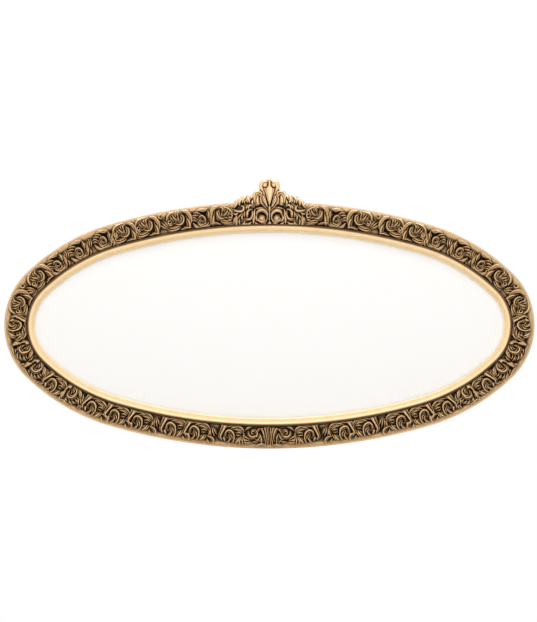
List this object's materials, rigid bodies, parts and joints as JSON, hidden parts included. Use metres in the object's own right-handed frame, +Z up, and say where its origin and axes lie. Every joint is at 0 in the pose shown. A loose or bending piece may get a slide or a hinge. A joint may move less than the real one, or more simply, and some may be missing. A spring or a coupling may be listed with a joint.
{
  "type": "oval picture frame",
  "caption": "Wide oval picture frame with a carved acanthus band, a scrolled crest and a pale sight moulding, with glass, backing, turn buttons and hanging rings.",
  "frame": {"origin": "centre of the oval opening, in the plane of the wall behind the bumpers", "axes": "+X to the right seen from the front, +Y towards the wall, +Z up; the front faces -Y"},
  "size_m": [0.859, 0.035, 0.4367],
  "materials": {
    "toned_gilding": "carved, gilded and toned with a dark umber wash in the recesses",
    "light_gilding": "smooth pale gilding, satin",
    "base_wood": "planed wood at the back, gilded at the outer edge",
    "picture_glass": "clear float glass",
    "white_card": "matt white",
    "hardboard": "smooth brown hardboard",
    "zinc_plated_steel": "zinc plated",
    "bumper_rubber": "matt black rubber"
  },
  "bodies": {
    "frame": {"joint_splines": "base_wood", "crest_board": "base_wood", "crest_screws": "zinc_plated_steel", "frame_segment_right": "base_wood", "frame_segment_upper_right": "base_wood", "frame_segment_top": "base_wood", "frame_segment_upper_left": "base_wood", "frame_segment_left": "base_wood", "frame_segment_lower_left": "base_wood", "frame_segment_bottom": "base_wood", "frame_segment_lower_right": "base_wood", "sight_moulding": "light_gilding", "carved_band_upper_right": "toned_gilding", "carved_band_upper_left": "toned_gilding", "carved_band_top_right": "toned_gilding", "carved_band_top_left": "toned_gilding", "carved_band_lower_right": "toned_gilding", "carved_band_lower_left": "toned_gilding", "carved_band_bottom_right": "toned_gilding", "carved_band_bottom_left": "toned_gilding", "carved_band_right": "toned_gilding", "carved_band_left": "toned_gilding", "bottom_palmette": "toned_gilding", "crest_cartouche": "toned_gilding", "crest_scroll_right": "toned_gilding", "crest_scroll_left": "toned_gilding", "crest_leaves_right": "toned_gilding", "crest_leaves_left": "toned_gilding", "backing_board": "hardboard", "mount_card": "white_card", "glass_pane": "picture_glass", "turn_button_screws": "zinc_plated_steel", "hanger_strap_right": "zinc_plated_steel", "hanger_strap_left": "zinc_plated_steel", "hanger_screws": "zinc_plated_steel", "wall_bumpers": "bumper_rubber"},
    "turn_button_1": {"turn_button_1": "zinc_plated_steel"},
    "turn_button_2": {"turn_button_2": "zinc_plated_steel"},
    "turn_button_3": {"turn_button_3": "zinc_plated_steel"},
    "turn_button_4": {"turn_button_4": "zinc_plated_steel"},
    "turn_button_5": {"turn_button_5": "zinc_plated_steel"},
    "turn_button_6": {"turn_button_6": "zinc_plated_steel"},
    "turn_button_7": {"turn_button_7": "zinc_plated_steel"},
    "turn_button_8": {"turn_button_8": "zinc_plated_steel"},
    "hanger_ring_right": {"hanger_ring_right": "zinc_plated_steel"},
    "hanger_ring_left": {"hanger_ring_left": "zinc_plated_steel"}
  },
  "joints": [
    {"name": "turn_button_1_turn", "type": "hinge", "parent": "frame", "child": "turn_button_1", "pos_m": [0.3975, -0.006, 0], "axis": [0, 1, 0], "continuous": true},
    {"name": "turn_button_2_turn", "type": "hinge", "parent": "frame", "child": "turn_button_2", "pos_m": [0.18637, -0.006, 0.14841], "axis": [0, 1, 0], "continuous": true},
    {"name": "turn_button_3_turn", "type": "hinge", "parent": "frame", "child": "turn_button_3", "pos_m": [0, -0.006, 0.168], "axis": [0, 1, 0], "continuous": true},
    {"name": "turn_button_4_turn", "type": "hinge", "parent": "frame", "child": "turn_button_4", "pos_m": [-0.18637, -0.006, 0.14841], "axis": [0, 1, 0], "continuous": true},
    {"name": "turn_button_5_turn", "type": "hinge", "parent": "frame", "child": "turn_button_5", "pos_m": [-0.3975, -0.006, 0], "axis": [0, 1, 0], "continuous": true},
    {"name": "turn_button_6_turn", "type": "hinge", "parent": "frame", "child": "turn_button_6", "pos_m": [-0.18637, -0.006, -0.14841], "axis": [0, 1, 0], "continuous": true},
    {"name": "turn_button_7_turn", "type": "hinge", "parent": "frame", "child": "turn_button_7", "pos_m": [0, -0.006, -0.168], "axis": [0, 1, 0], "continuous": true},
    {"name": "turn_button_8_turn", "type": "hinge", "parent": "frame", "child": "turn_button_8", "pos_m": [0.18637, -0.006, -0.14841], "axis": [0, 1, 0], "continuous": true},
    {"name": "hanger_ring_right_swing", "type": "hinge", "parent": "frame", "child": "hanger_ring_right", "pos_m": [0.32808, -0.00392, 0.10859], "axis": [1, 0, 0], "range_deg": [0, 174]},
    {"name": "hanger_ring_left_swing", "type": "hinge", "parent": "frame", "child": "hanger_ring_left", "pos_m": [-0.32808, -0.00392, 0.10859], "axis": [1, 0, 0], "range_deg": [0, 174]}
  ]
}
